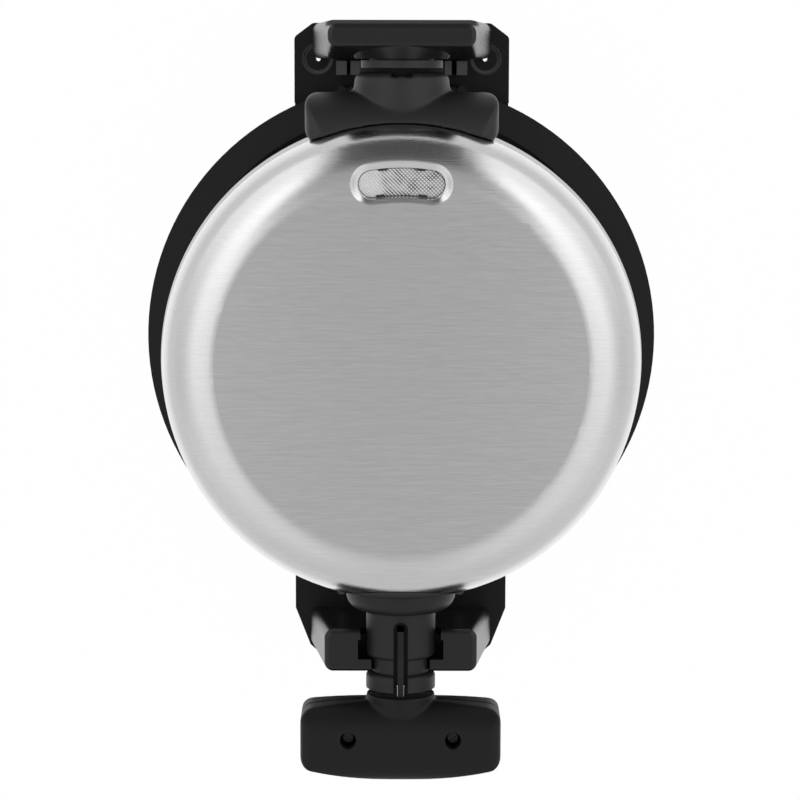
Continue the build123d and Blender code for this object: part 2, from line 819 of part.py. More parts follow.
# Trunnion: plug in the lower neck, drum with the lid's middle knuckle, and the journal in the rear post
trunnion_back_y = drum_back_y + trunnion_len
clip_front_y = boss_front_y + free_gap + bush_len + free_gap
with BuildPart() as trunnion:
    round_bar(drum_front_y, drum_front_y - plug_len, neck_r - housing_wall - fit_gap)
    split(bisect_by=split_plane.offset(-half_gap), keep=Keep.BOTTOM)
    round_bar(drum_back_y, drum_front_y, drum_r)
    cross_bar(hinge_plane, hinge_knuckle_r, -hinge_centre_half, hinge_centre_half)
    with BuildSketch(hinge_plane.offset(-hinge_centre_half)):
        with Locations((0, -(hinge_h + hinge_knuckle_r) / 2)):
            Rectangle(2 * hinge_knuckle_r, hinge_h + hinge_knuckle_r)
    extrude(amount=2 * hinge_centre_half)
    cross_bar(hinge_plane, hinge_pin_r, -hinge_centre_half, hinge_centre_half, mode=Mode.SUBTRACT)
    round_bar(trunnion_back_y, drum_back_y, trunnion_r)
    round_bar(clip_front_y + clip_t + fit_gap, clip_front_y - fit_gap, trunnion_r + 1, mode=Mode.SUBTRACT)
    round_bar(clip_front_y + clip_t + fit_gap, clip_front_y - fit_gap, trunnion_r - clip_groove_depth)
    with BuildSketch(axis_plane(trunnion_back_y)):
        with Locations((0, -wire_bore_drop)):
            Circle(wire_bore_r)
    extrude(amount=trunnion_back_y - drum_front_y + plug_len, mode=Mode.SUBTRACT)

trunnion.part.label = "trunnion"
export_step(trunnion.part, "parts/trunnion.step")

hinge_pin_half = hinge_centre_half + hinge_side_gap + hinge_knuckle_len
with BuildPart() as hinge_pin:
    cross_bar(hinge_plane, hinge_pin_r, -hinge_pin_half, hinge_pin_half)

hinge_pin.part.label = "hinge_pin"
export_step(hinge_pin.part, "parts/hinge_pin.step")

# Open spring clip that keeps the trunnion in its bush
with BuildPart() as trunnion_clip:
    round_bar(clip_front_y + clip_t, clip_front_y, clip_r)
    round_bar(clip_front_y + clip_t, clip_front_y, trunnion_r - clip_groove_depth + fit_gap, mode=Mode.SUBTRACT)
    with BuildSketch(axis_plane(clip_front_y + clip_t)):
        with Locations((0, -clip_r)):
            Rectangle(trunnion_r, clip_r)
    extrude(amount=clip_t, mode=Mode.SUBTRACT)

trunnion_clip.part.label = "trunnion_clip"
export_step(trunnion_clip.part, "parts/trunnion_clip.step")

# Front post: a tapered tower that leans to the head, with the open saddle between its two horns
horn_mid_y = (horn_back_y + horn_front_y) / 2
pocket_low_z = axis_z - saddle_pocket_depth
with BuildPart() as front_cavity:
    with BuildSketch(Plane.XY.offset(base_top_z)):
        with Locations((0, front_foot_y)):
            RectangleRounded(2 * (front_foot_half_w - post_wall), front_foot_t - 2 * post_wall,
                             post_corner_r - post_wall)
    with BuildSketch(Plane.XY.offset(axis_z + horn_h)):
        with Locations((0, horn_mid_y)):
            RectangleRounded(2 * (horn_half_w - post_wall), horn_t - 2 * post_wall, post_corner_r - post_wall)
    loft()
    split(bisect_by=Plane.XY.offset(axis_z + horn_h - post_wall), keep=Keep.BOTTOM)
    with BuildSketch(Plane.XY.offset(pocket_low_z - post_wall)):
        with Locations((0, horn_mid_y)):
            Rectangle(2 * (saddle_pocket_half_w + post_wall), 3 * horn_t)
    extrude(amount=axis_z, mode=Mode.SUBTRACT)
    with BuildSketch(Plane.XY.offset(base_top_z)):
        with Locations((-post_screw_x, front_foot_y), (post_screw_x, front_foot_y)):
            Rectangle(2 * column_r, front_foot_t)
    extrude(amount=post_screw_len + post_wall, mode=Mode.SUBTRACT)

with BuildPart() as front_post:
    with BuildSketch(Plane.XY.offset(base_top_z)):
        with Locations((0, front_foot_y)):
            RectangleRounded(2 * front_foot_half_w, front_foot_t, post_corner_r)
    with BuildSketch(Plane.XY.offset(axis_z + horn_h)):
        with Locations((0, horn_mid_y)):
            RectangleRounded(2 * horn_half_w, horn_t, post_corner_r)
    loft()
    fillet(faces().sort_by(Axis.Z)[-1].edges(), radius=horn_edge_r)
    add(front_cavity.part, mode=Mode.SUBTRACT)
    with BuildSketch(Plane.XY.offset(pocket_low_z)):
        with Locations((0, horn_mid_y + (saddle_front_wall - saddle_rear_wall) / 2)):
            Rectangle(2 * saddle_pocket_half_w, horn_t - saddle_front_wall - saddle_rear_wall)
    extrude(amount=axis_z, mode=Mode.SUBTRACT)
    with BuildSketch(axis_plane(horn_mid_y)):
        Circle(journal_r + free_gap)
        with Locations((0, horn_h)):
            Rectangle(2 * (journal_r + free_gap), 2 * horn_h)
    extrude(amount=horn_t, mode=Mode.SUBTRACT)
    with BuildSketch(axis_plane(horn_front_y)):
        Circle(shaft_r + free_gap)
        with Locations((0, horn_h)):
            Rectangle(2 * (shaft_r + free_gap), 2 * horn_h)
    extrude(amount=horn_t, mode=Mode.SUBTRACT)
    with BuildSketch(axis_plane(horn_back_y + horn_t / 2)):
        Circle(saddle_rear_r)
        with Locations((0, horn_h)):
            Rectangle(2 * saddle_rear_r, 2 * horn_h)
    extrude(amount=horn_t, mode=Mode.SUBTRACT)
    with BuildSketch(Plane.XY.offset(base_top_z)):
        with Locations((-post_screw_x, front_foot_y), (post_screw_x, front_foot_y)):
            Circle(screw_r)
    extrude(amount=post_screw_len, mode=Mode.SUBTRACT)

front_post.part.label = "front_post"
export_step(front_post.part, "parts/front_post.step")

# Rear post: a tapered tower with a sloping hood and the round boss that holds the bush
rear_top_y = base_back_y - rear_top_setback - rear_top_t / 2


def rear_tower(inset):
    """Tower in two lofts, from the foot to the waist and from the waist to the narrow top."""
    for low, high in ((rear_sections[0], rear_sections[1]), (rear_sections[1], rear_sections[2])):
        with BuildPart(mode=Mode.PRIVATE) as stage:
            for height, half_w, depth, middle_y in (low, high):
                with BuildSketch(Plane.XY.offset(height)):
                    with Locations((0, middle_y)):
                        RectangleRounded(2 * (half_w - inset), depth - 2 * inset, post_corner_r - inset)
            loft()
        add(stage.part)


rear_sections = [
    (base_top_z, rear_foot_half_w, rear_post_t, rear_foot_y),
    (rear_waist_z, rear_waist_half_w, rear_post_t, rear_foot_y),
    (rear_top_z, rear_top_half_w, rear_top_t, rear_top_y),
]
with BuildPart() as rear_cavity:
    rear_tower(post_wall)
    split(bisect_by=Plane.XY.offset(rear_top_z - post_wall), keep=Keep.BOTTOM)
    with BuildSketch(Plane.XY.offset(base_top_z)):
        with Locations((-post_screw_x, rear_foot_y), (post_screw_x, rear_foot_y)):
            Rectangle(2 * column_r, rear_post_t)
    extrude(amount=post_screw_len + post_wall, mode=Mode.SUBTRACT)

with BuildPart() as rear_post:
    rear_tower(0)
    fillet(faces().sort_by(Axis.Z)[-1].edges(), radius=post_corner_r / 2)
    add(rear_cavity.part, mode=Mode.SUBTRACT)
    with BuildSketch(split_plane):
        with BuildLine():
            Polyline(
                (0, boss_front_y),
                (boss_front_r, boss_front_y),
                (boss_r, boss_front_y + boss_cone_len),
                (boss_r, boss_front_y + boss_len),
                (0, boss_front_y + boss_len),
                close=True,
            )
        make_face()
    revolve(axis=turning_axis)
    round_bar(boss_front_y + boss_len, boss_front_y, trunnion_r + bush_wall + fit_gap, mode=Mode.SUBTRACT)
    with BuildSketch(Plane.XY.offset(base_top_z)):
        with Locations((-post_screw_x, rear_foot_y), (post_screw_x, rear_foot_y)):
            Circle(screw_r)
    extrude(amount=post_screw_len, mode=Mode.SUBTRACT)

rear_post.part.label = "rear_post"
export_step(rear_post.part, "parts/rear_post.step")

with BuildPart() as rear_bush:
    round_bar(boss_front_y + free_gap + bush_len, boss_front_y + free_gap, trunnion_r + bush_wall)
    round_bar(boss_front_y + free_gap + bush_len, boss_front_y + free_gap, trunnion_r + running_gap,
              mode=Mode.SUBTRACT)

rear_bush.part.label = "rear_bush"
export_step(rear_bush.part, "parts/rear_bush.step")

# Base: a long flat moulding, low under the tray and higher at both ends
foot_front_y = front_foot_y - front_foot_t / 2
drain_y = boss_front_y
drain_x = 40.0
front_pad_y = front_foot_y + front_foot_t / 4
front_pad_x = 38.0
peg_rear_y = head_y + tray_r - peg_rear_inset
peg_front_y = head_y - tray_r - peg_front_gap
cover_screw_rear_y = head_y + channel_half + cover_screw_rear_inset
cover_screw_front_y = head_y - channel_half - cover_screw_front_inset
rib_places = (
    (-rib_outer_x, rib_outer_w),
    (-rib_inner_x, rib_inner_left_w),
    (rib_inner_x, rib_inner_right_w),
    (rib_outer_x, rib_outer_w),
)
base_points = [
    (base_half_w, base_back_y - base_corner_y),
    (base_half_w - base_corner_x, base_back_y),
    (-base_half_w + base_corner_x, base_back_y),
    (-base_half_w, base_back_y - base_corner_y),
    (-base_half_w, foot_front_y + base_taper_start),
    (-front_foot_half_w, foot_front_y),
    (-base_front_half_w, base_front_y),
    (base_front_half_w, base_front_y),
    (front_foot_half_w, foot_front_y),
    (base_half_w, foot_front_y + base_taper_start),
]
cover_screw_places = [
    (-cover_screw_x, cover_screw_rear_y),
    (cover_screw_x, cover_screw_rear_y),
    (-cover_screw_x, cover_screw_front_y),
    (cover_screw_x, cover_screw_front_y),
]
post_screw_places = [
    (-post_screw_x, front_foot_y),
    (post_screw_x, front_foot_y),
    (-post_screw_x, rear_foot_y),
    (post_screw_x, rear_foot_y),
]
drain_places = [(-drain_x, drain_y), (drain_x, drain_y)]
pad_places = drain_places + [(-front_pad_x, front_pad_y), (front_pad_x, front_pad_y)]


def base_outline(inset):
    """Plan of the base, drawn inwards by the inset."""
    Polygon(*base_points, align=None)
    if inset > 0:
        offset(amount=-inset, mode=Mode.REPLACE)


base_top_in_z = base_top_z - base_wall
with BuildPart() as base_shell:
    with BuildSketch(Plane.XY.offset(base_z)):
        base_outline(0)
    extrude(amount=base_top_z - base_z)
    fillet(edges().filter_by(Axis.Z), radius=base_round)
    with BuildSketch(Plane.XY.offset(base_z)):
        base_outline(base_wall)
    extrude(amount=base_top_in_z - base_z, mode=Mode.SUBTRACT)
    with BuildSketch(Plane.XY.offset(bridge_top_z - base_wall)):
        with Locations((0, head_y)):
            Rectangle(2 * base_half_w - 2 * base_wall, 2 * (channel_half + base_wall))
    extrude(amount=base_top_z - bridge_top_z + base_wall)
    with BuildSketch(Plane.XY.offset(bridge_top_z)):
        with Locations((0, head_y)):
            Rectangle(2 * base_half_w + 2, 2 * channel_half)
    extrude(amount=base_top_z, mode=Mode.SUBTRACT)
    with BuildSketch(Plane.XY.offset(base_z + bottom_t)):
        with Locations(*cover_screw_places):
            Circle(column_r)
        with Locations(*drain_places):
            Circle(column_r)
    extrude(amount=base_top_in_z - base_z - bottom_t)
    with BuildSketch(Plane.XY.offset(base_z)):
        with Locations(*cover_screw_places):
            Circle(screw_r)
    extrude(amount=cover_screw_len + bottom_t, mode=Mode.SUBTRACT)
    with BuildSketch(Plane.XY.offset(base_z)):
        with Locations(*drain_places):
            Circle(drain_hole_r)
    extrude(amount=base_top_z, mode=Mode.SUBTRACT)
    with BuildSketch(Plane.XY.offset(base_top_z - drain_recess_depth)):
        with Locations(*drain_places):
            Circle(drain_recess_r)
    extrude(amount=base_top_z, mode=Mode.SUBTRACT)
    with BuildSketch(Plane.XY.offset(base_top_in_z)):
        with Locations(*post_screw_places):
            Circle(screw_r + fit_gap)
    extrude(amount=base_wall, mode=Mode.SUBTRACT)
    with BuildSketch(Plane.XY.offset(base_top_z)):
        with Locations((-peg_x, peg_rear_y), (peg_x, peg_rear_y), (-peg_x, peg_front_y), (peg_x, peg_front_y)):
            Circle(peg_r)
    extrude(amount=tray_rim_z - tray_lip_h - free_gap - base_top_z)
    with BuildSketch(Plane.XY.offset(base_top_z)):
        for rib_x, rib_w in rib_places:
            with Locations((rib_x, boss_front_y - rib_setback - rib_depth / 2)):
                Rectangle(rib_w, rib_depth)
    extrude(amount=rib_h)
    with BuildSketch(Plane(origin=(0, base_back_y, gland_z), x_dir=(1, 0, 0), z_dir=(0, -1, 0))):
        Circle(gland_r)
    extrude(amount=base_wall, mode=Mode.SUBTRACT)

base_shell.part.label = "base_shell"
export_step(base_shell.part, "parts/base_shell.step")

with BuildPart() as bottom_cover:
    with BuildSketch(Plane.XY.offset(base_z)):
        base_outline(base_wall + fit_gap)
    extrude(amount=bottom_t - fit_gap)
    with BuildSketch(Plane.XY.offset(base_z)):
        with Locations(*cover_screw_places):
            Circle(screw_head_r + fit_gap)
    extrude(amount=bottom_t / 2, mode=Mode.SUBTRACT)
    with BuildSketch(Plane.XY.offset(base_z)):
        with Locations(*cover_screw_places):
            Circle(screw_r + fit_gap)
        with Locations(*drain_places):
            Circle(drain_hole_r)
    extrude(amount=bottom_t, mode=Mode.SUBTRACT)

bottom_cover.part.label = "bottom_cover"
export_step(bottom_cover.part, "parts/bottom_cover.step")

with BuildPart() as bottom_screws:
    with BuildSketch(Plane.XY.offset(base_z)):
        with Locations(*cover_screw_places):
            Circle(screw_head_r)
    extrude(amount=bottom_t / 2)
    with BuildSketch(Plane.XY.offset(base_z)):
        with Locations(*cover_screw_places):
            Circle(screw_r)
    extrude(amount=bottom_t + cover_screw_len - free_gap)

bottom_screws.part.label = "bottom_screws"
export_step(bottom_screws.part, "parts/bottom_screws.step")

with BuildPart() as post_screws:
    with BuildSketch(Plane.XY.offset(base_top_in_z - screw_head_h)):
        with Locations(*post_screw_places):
            Circle(screw_head_r)
    extrude(amount=screw_head_h)
    with BuildSketch(Plane.XY.offset(base_top_in_z)):
        with Locations(*post_screw_places):
            Circle(screw_r)
    extrude(amount=base_wall + post_screw_len - free_gap)

post_screws.part.label = "post_screws"
export_step(post_screws.part, "parts/post_screws.step")

with BuildPart() as rubber_feet:
    with BuildSketch(Plane.XY):
        with Locations(*pad_places):
            Circle(foot_r)
            Circle(drain_hole_r, mode=Mode.SUBTRACT)
    extrude(amount=foot_h)

rubber_feet.part.label = "rubber_feet"
export_step(rubber_feet.part, "parts/rubber_feet.step")

# Inlet grommet for the supply cord, flush in the base's rear wall
with BuildPart() as cord_gland:
    gland_plane = Plane(origin=(0, base_back_y, gland_z), x_dir=(1, 0, 0), z_dir=(0, -1, 0))
    with BuildSketch(gland_plane):
        Circle(gland_r - fit_gap)
    extrude(amount=base_wall + gland_lip_t)
    with BuildSketch(gland_plane.offset(base_wall)):
        Circle(gland_lip_r)
    extrude(amount=gland_lip_t)
    with BuildSketch(gland_plane):
        Circle(gland_bore_r)
    extrude(amount=base_wall + gland_lip_t, mode=Mode.SUBTRACT)

cord_gland.part.label = "cord_gland"
export_step(cord_gland.part, "parts/cord_gland.step")

# Round drip tray on the base's bridge, with a rolled rim that passes over the pegs
tray_low_z = bridge_top_z + free_gap
with BuildPart() as drip_tray:
    with BuildSketch(Plane(origin=(0, head_y, 0), x_dir=(1, 0, 0), z_dir=(0, -1, 0))):
        with BuildLine():
            Polyline(
                (0, tray_low_z),
                (tray_floor_r, tray_low_z),
                (tray_flange_r, tray_rim_z - tray_flange_drop - tray_t),
                (tray_r - tray_t, tray_rim_z - tray_t),
                (tray_r - tray_t, tray_rim_z - tray_lip_h),
                (tray_r, tray_rim_z - tray_lip_h),
                (tray_r, tray_rim_z),
                (tray_flange_r - tray_t / 2, tray_rim_z - tray_flange_drop),
                (tray_floor_r - tray_t, tray_low_z + tray_t),
                (0, tray_low_z + tray_t),
                close=True,
            )
        make_face()
    revolve(axis=head_axis)
    with BuildSketch(Plane.XY.offset(tray_rim_z - tray_lip_h)):
        with Locations((-peg_x, peg_rear_y), (peg_x, peg_rear_y)):
            Circle(peg_r)
    extrude(amount=tray_lip_h + tray_boss_rise)

drip_tray.part.label = "drip_tray"
export_step(drip_tray.part, "parts/drip_tray.step")
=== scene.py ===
import math

import bmesh
import bpy
from mathutils import Matrix, Vector


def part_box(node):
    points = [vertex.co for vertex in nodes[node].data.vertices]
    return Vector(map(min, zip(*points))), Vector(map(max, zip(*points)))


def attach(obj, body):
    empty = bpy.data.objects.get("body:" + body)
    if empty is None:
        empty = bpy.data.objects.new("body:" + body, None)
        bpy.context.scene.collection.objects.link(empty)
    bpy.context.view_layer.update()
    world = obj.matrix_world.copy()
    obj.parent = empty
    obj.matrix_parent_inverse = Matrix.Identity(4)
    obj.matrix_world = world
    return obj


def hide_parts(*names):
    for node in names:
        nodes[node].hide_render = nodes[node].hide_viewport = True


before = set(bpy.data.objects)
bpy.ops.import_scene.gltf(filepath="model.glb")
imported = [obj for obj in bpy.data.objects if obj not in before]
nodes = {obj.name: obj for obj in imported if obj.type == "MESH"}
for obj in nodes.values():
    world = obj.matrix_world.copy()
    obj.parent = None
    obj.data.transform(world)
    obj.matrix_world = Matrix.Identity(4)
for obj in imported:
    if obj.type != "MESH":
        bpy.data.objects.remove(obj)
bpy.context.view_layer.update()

# The table, the studio and the camera.
# The waffle maker stands on a white table under wide soft lights and is seen from almost straight above,
# so that its length runs up the picture.
MM = 0.001
HEAD_Y = 19.85 * MM
AXIS_Z = 130 * MM


class Value:
    """An output socket in a finish. Arithmetic on it adds Math nodes."""

    def __init__(self, finish, socket):
        self.finish = finish
        self.socket = socket

    def maths(self, operation, first, second=0.0):
        return self.finish.node("ShaderNodeMath", {"operation": operation}, {0: first, 1: second})

    def __add__(self, other):
        return self.maths("ADD", self, other)

    def __radd__(self, other):
        return self.maths("ADD", other, self)

    def __sub__(self, other):
        return self.maths("SUBTRACT", self, other)

    def __rsub__(self, other):
        return self.maths("SUBTRACT", other, self)

    def __mul__(self, other):
        return self.maths("MULTIPLY", self, other)

    def __rmul__(self, other):
        return self.maths("MULTIPLY", other, self)

    def __truediv__(self, other):
        return self.maths("DIVIDE", self, other)

    def __pow__(self, other):
        return self.maths("POWER", self, other)

    def __abs__(self):
        return self.maths("ABSOLUTE", self)

    def above(self, edge):
        return self.maths("GREATER_THAN", self, edge)

    def most(self, other):
        return self.maths("MAXIMUM", self, other)

    def least(self, other):
        return self.maths("MINIMUM", self, other)

    def from_ridge(self):
        """Distance from the nearest half between whole numbers: 0 on a ridge, 0.5 in a valley."""
        return abs(self.maths("FRACT", self) - 0.5)

    def step(self, low, high, start=0.0, end=1.0):
        """Smooth change from start to end while the value goes from low to high."""
        inputs = {"Value": self, "From Min": low, "From Max": high, "To Min": start, "To Max": end}
        return self.finish.node("ShaderNodeMapRange", {"interpolation_type": "SMOOTHSTEP"}, inputs)


class Finish:
    """A node tree: a material's, with its Principled shader, or the studio's."""

    def __init__(self, tree):
        self.tree = tree

    def node(self, kind, settings=None, inputs=None, output=0):
        """Add a node, with its settings first and then the values or links of its sockets."""
        made = self.tree.nodes.new(kind)
        for key, value in (settings or {}).items():
            setattr(made, key, value)
        for key, value in (inputs or {}).items():
            if isinstance(value, Value):
                self.tree.links.new(value.socket, made.inputs[key])
            else:
                made.inputs[key].default_value = value
        return Value(self, made.outputs[output])

    def axes(self, spot):
        """The x, y and z of a place or a direction."""
        return [self.node("ShaderNodeSeparateXYZ", None, {0: spot}, axis) for axis in "XYZ"]

    def place(self):
        """The x, y and z of a point on the piece, in metres."""
        return self.axes(self.node("ShaderNodeTexCoord", output="Object"))

    def stretched(self, scale, detail=2.0):
        """Noise on the piece's own coordinates, with its own scale along each axis."""
        spot = self.node("ShaderNodeTexCoord", output="Object")
        spot = self.node("ShaderNodeVectorMath", {"operation": "MULTIPLY"}, {0: spot, 1: scale})
        return self.node("ShaderNodeTexNoise", None, {"Vector": spot, "Scale": 1.0, "Detail": detail})

    def blend(self, amount, first, second):
        """Colour between the first and the second."""
        return self.node("ShaderNodeMix", {"data_type": "RGBA"}, {0: amount, 6: first, 7: second}, 2)


def grey(level):
    return (level, level, level, 1.0)


def finish(name, **values):
    """A material with the given values on its Principled shader's sockets."""
    material = bpy.data.materials.new(name)
    material.use_nodes = True
    made = Finish(material.node_tree)
    made.material = material
    made.shader = material.node_tree.nodes["Principled BSDF"]
    for key, value in values.items():
        made.shader.inputs[key.replace("_", " ")].default_value = value
    return made


def feed(made, socket, value):
    """Link a value that changes over the surface to a socket of the shader."""
    made.tree.links.new(value.socket, made.shader.inputs[socket])


def bump(made, height, distance):
    """Raise the surface by a height from 0 to 1 times a distance in metres."""
    relief = made.node("ShaderNodeBump", None, {"Height": height, "Distance": distance, "Strength": 1.0})
    feed(made, "Normal", relief)


def grain(made, scale, smoothest, roughest, relief):
    """Give a finish fine even grain, in its roughness and in its relief."""
    specks = made.stretched((scale, scale, scale))
    feed(made, "Roughness", specks * (roughest - smoothest) + smoothest)
    bump(made, specks, relief)


def dress(made, *names):
    """Give CAD nodes a finish."""
    for name in names:
        nodes[name].data.materials.clear()
        nodes[name].data.materials.append(made.material)


def put(name, data):
    """Add an object to the scene, at the origin."""
    item = bpy.data.objects.new(name, data)
    bpy.context.scene.collection.objects.link(item)
    return item


CAMERA_SPOT = (-0.83 * MM, HEAD_Y + 131.95 * MM, 1.336)
CAMERA_TILT = math.radians(-7.113)
CAMERA_TURN = math.radians(0.118)
camera = put("camera", bpy.data.cameras.new("camera"))
camera.data.sensor_width = 36.0
camera.data.lens = 123.09
camera.data.clip_end = 20.0
camera.location = CAMERA_SPOT
camera.rotation_euler = (CAMERA_TILT, 0, CAMERA_TURN)
bpy.context.scene.camera = camera
bpy.context.scene.view_settings.view_transform = "Standard"

# Gloss sees two long side walls of light under a dimmer roof. The roof brightens towards the front and
# dims towards the rear, and the walls fade near the horizon, most of all at the sides.
ROOF_LEVEL = 0.36
FRONT_GLOW = 0.22
REAR_FLAG = 0.29
WALL_LEVEL = 0.93
WALL_REAR_GAIN = 0.42
WALL_FRONT_LOSS = 0.27
PLAIN_LEVEL = 0.62
world = bpy.data.worlds.new("studio")
bpy.context.scene.world = world
world.use_nodes = True
studio = Finish(world.node_tree)
way_x, way_y, _ = studio.axes(studio.node("ShaderNodeTexCoord", output="Generated"))
sideways = (way_x * way_x + way_y * way_y) ** 0.5
turn = way_y / sideways.most(0.001)
wall_edge = way_y.step(-0.02, 0.33, 0.13, 0.34)
wall = (abs(way_x) - wall_edge).step(-0.07, 0.09)
near_horizon = turn.step(-0.6, -0.1, 0.88, 0.66) + turn.step(0.1, 0.6, 0.0, 0.1)
wall_fade = 1 - sideways.step(0.72, 1.0) * (1 - near_horizon)
wall_level = (turn.most(0.0) * WALL_REAR_GAIN + turn.least(0.0) * WALL_FRONT_LOSS + WALL_LEVEL) * wall_fade
front_glow = (0.0 - way_y).step(0.02, 0.6) * FRONT_GLOW
rear_flag = way_y.step(0.4, 0.8) * REAR_FLAG
roof_level = ROOF_LEVEL + front_glow - rear_flag
seen_in_gloss = roof_level + wall * (wall_level - roof_level)
gloss = studio.node("ShaderNodeLightPath", output="Is Glossy Ray")
seen = studio.node("ShaderNodeLightPath", output="Is Camera Ray")
level = gloss * seen_in_gloss + (1 - gloss) * PLAIN_LEVEL
level = level.most(seen)
back = world.node_tree.nodes["Background"]
studio.tree.links.new(level.socket, back.inputs["Strength"])
back.inputs["Color"].default_value = grey(1.0)

AIM = Vector((0, 0, 0.1))
for name, power, size, spot in (
    ("left_box", 9.0, 0.9, Vector((-1.3, 0.1, 1.1))),
    ("right_box", 9.0, 0.9, Vector((1.3, 0.1, 1.1))),
    ("front_box", 5.0, 0.8, Vector((0.0, -1.4, 1.2))),
):
    lamp = put(name, bpy.data.lights.new(name, "AREA"))
    lamp.data.energy = power
    lamp.data.size = size
    lamp.location = spot
    lamp.rotation_euler = (spot - AIM).to_track_quat("Z", "Y").to_euler()
    lamp.visible_glossy = False

# The paper shows white to the camera and through clear plastic, and in gloss it dims with the distance.
TABLE_REACH = 4.0
WHITE_SHARE = 0.985
SHEEN_SHARE = 0.9
paper_mesh = bmesh.new()
bmesh.ops.create_grid(paper_mesh, x_segments=1, y_segments=1, size=TABLE_REACH)
table_top = put("table_top", bpy.data.meshes.new("table_top"))
paper_mesh.to_mesh(table_top.data)
paper_mesh.free()
paper = finish("white_table", Base_Color=grey(0.85), Roughness=0.9)
paper_x, paper_y, _ = paper.place()
distance = (paper_x * paper_x + paper_y * paper_y) ** 0.5
direct = paper.node("ShaderNodeLightPath", output="Is Camera Ray")
through = paper.node("ShaderNodeLightPath", output="Is Transmission Ray")
mirrored = paper.node("ShaderNodeLightPath", output="Is Glossy Ray")
plain_light = Value(paper, paper.shader.outputs["BSDF"])
near_and_far = distance.step(0.15, 0.5, 1.0, 0.62)
glow = paper.node("ShaderNodeEmission", None, {"Color": grey(1.0), "Strength": 1.0}, "Emission")
sheen = paper.node("ShaderNodeEmission", None, {"Color": grey(1.0), "Strength": near_and_far}, "Emission")
white = direct.most(through) * WHITE_SHARE
mixed = paper.node("ShaderNodeMixShader", None, {0: white, 1: plain_light, 2: glow})
mixed = paper.node("ShaderNodeMixShader", None, {0: mirrored * SHEEN_SHARE, 1: mixed, 2: sheen})
paper.tree.links.new(mixed.socket, paper.tree.nodes["Material Output"].inputs["Surface"])
table_top.data.materials.append(paper.material)

# The long base, its bottom plate, its feet and the cord's grommet.
# The base is injection moulded in black plastic with a fine matt texture, and stands on moulded rubber feet
# that are pressed into the bottom plate. Its pegs, ribs and drain rims are painted lighter as highlight.
LEDGE_Z = 24 * MM
DRAIN_X = 40 * MM
DRAIN_Y = HEAD_Y + 131.9 * MM
DRAIN_FLOOR_Z = 19.5 * MM
DRAIN_RIM_START = (5.2 * MM, 6.2 * MM)
DRAIN_RIM_END = (6.8 * MM, 7.8 * MM)
base_black = finish("base_black", Base_Color=grey(0.006), Roughness=0.42, Specular_IOR_Level=0.25)
grain(base_black, scale=2500, smoothest=0.36, roughest=0.48, relief=0.04 * MM)
base_x, base_y, base_z = base_black.place()
# Painted highlight: the raised pegs and ribs, and the rims of the drains, are coloured lighter for the light
# they catch.
raised_highlight = base_z.step(LEDGE_Z - 0.5 * MM, LEDGE_Z + 0.5 * MM)
from_drain = ((abs(base_x) - DRAIN_X) ** 2 + (base_y - DRAIN_Y) ** 2) ** 0.5
drain_rim_highlight = from_drain.step(*DRAIN_RIM_START) * (1 - from_drain.step(*DRAIN_RIM_END))
drain_rim_highlight = drain_rim_highlight * base_z.above(DRAIN_FLOOR_Z)
feed(base_black, "Base Color", base_black.blend(raised_highlight.most(drain_rim_highlight), grey(0.006), grey(0.075)))
dress(base_black, "base_shell", "bottom_cover")

foot_rubber = finish("foot_rubber", Base_Color=grey(0.03), Roughness=0.75)
bump(foot_rubber, foot_rubber.stretched((900, 900, 900)), 0.06 * MM)
dress(foot_rubber, "rubber_feet")

gland_black = finish("gland_black", Base_Color=grey(0.03), Roughness=0.5)
bump(gland_black, gland_black.stretched((1500, 1500, 1500)), 0.03 * MM)
dress(gland_black, "cord_gland")

# The two posts that carry the head.
# They are hollow black mouldings with a satin skin, screwed down from inside the base. The rear post's
# hood is duller along its rear edge, and its colour there is darkened as painted shade.
HOOD_EDGE_Y = (145.5 * MM, 146.8 * MM)
HOOD_EDGE_X = (31 * MM, 34.5 * MM)
POST_ROUGHNESS = 0.22
REAR_DULLNESS = 0.7
post_black = finish("post_black", Base_Color=grey(0.008), Roughness=0.3, Specular_IOR_Level=0.42)
specks = post_black.stretched((2500, 2500, 2500))
post_x, post_y, _ = post_black.place()
dull_shaded_rear = (post_y - HEAD_Y).step(*HOOD_EDGE_Y) * (1 - abs(post_x).step(*HOOD_EDGE_X))
feed(post_black, "Roughness", specks * 0.1 + POST_ROUGHNESS + dull_shaded_rear * REAR_DULLNESS)
# Painted shade: the rear edge's band is coloured darker as well as made rougher.
feed(post_black, "Base Color", post_black.blend(dull_shaded_rear, grey(0.008), grey(0.002)))
bump(post_black, specks, 0.03 * MM)
dress(post_black, "front_post", "rear_post")

# The bush in the rear post.
# It is a turned ring of natural acetal, which shows as a thin lighter line behind the drum.
acetal = finish("acetal", Base_Color=grey(0.12), Roughness=0.4)
bump(acetal, acetal.stretched((300, 3000, 300)), 0.02 * MM)
dress(acetal, "rear_bush")

# The drip tray.
# It is a round black moulding with a rolled rim, lies on the base's bridge and slides out sideways.
tray_black = finish("tray_black", Base_Color=grey(0.008), Roughness=0.38, Specular_IOR_Level=0.3)
grain(tray_black, scale=1800, smoothest=0.34, roughest=0.44, relief=0.04 * MM)
dress(tray_black, "drip_tray")

# The steel covers.
# Both are deep-drawn stainless sheet, brushed from side to side before they were drawn.
brushed = finish("brushed_steel", Base_Color=grey(0.85), Roughness=0.3, Metallic=1.0)
streaks = brushed.stretched((110, 3600, 900), detail=4.0)
long_streaks = brushed.stretched((45, 1100, 300), detail=3.0)
feed(brushed, "Roughness", streaks * 0.1 + 0.14)
feed(brushed, "Base Color", brushed.blend(streaks * 0.6 + long_streaks * 0.4, grey(0.74), grey(0.95)))
bump(brushed, streaks, 0.028 * MM)
dress(brushed, "upper_cover", "lower_cover")


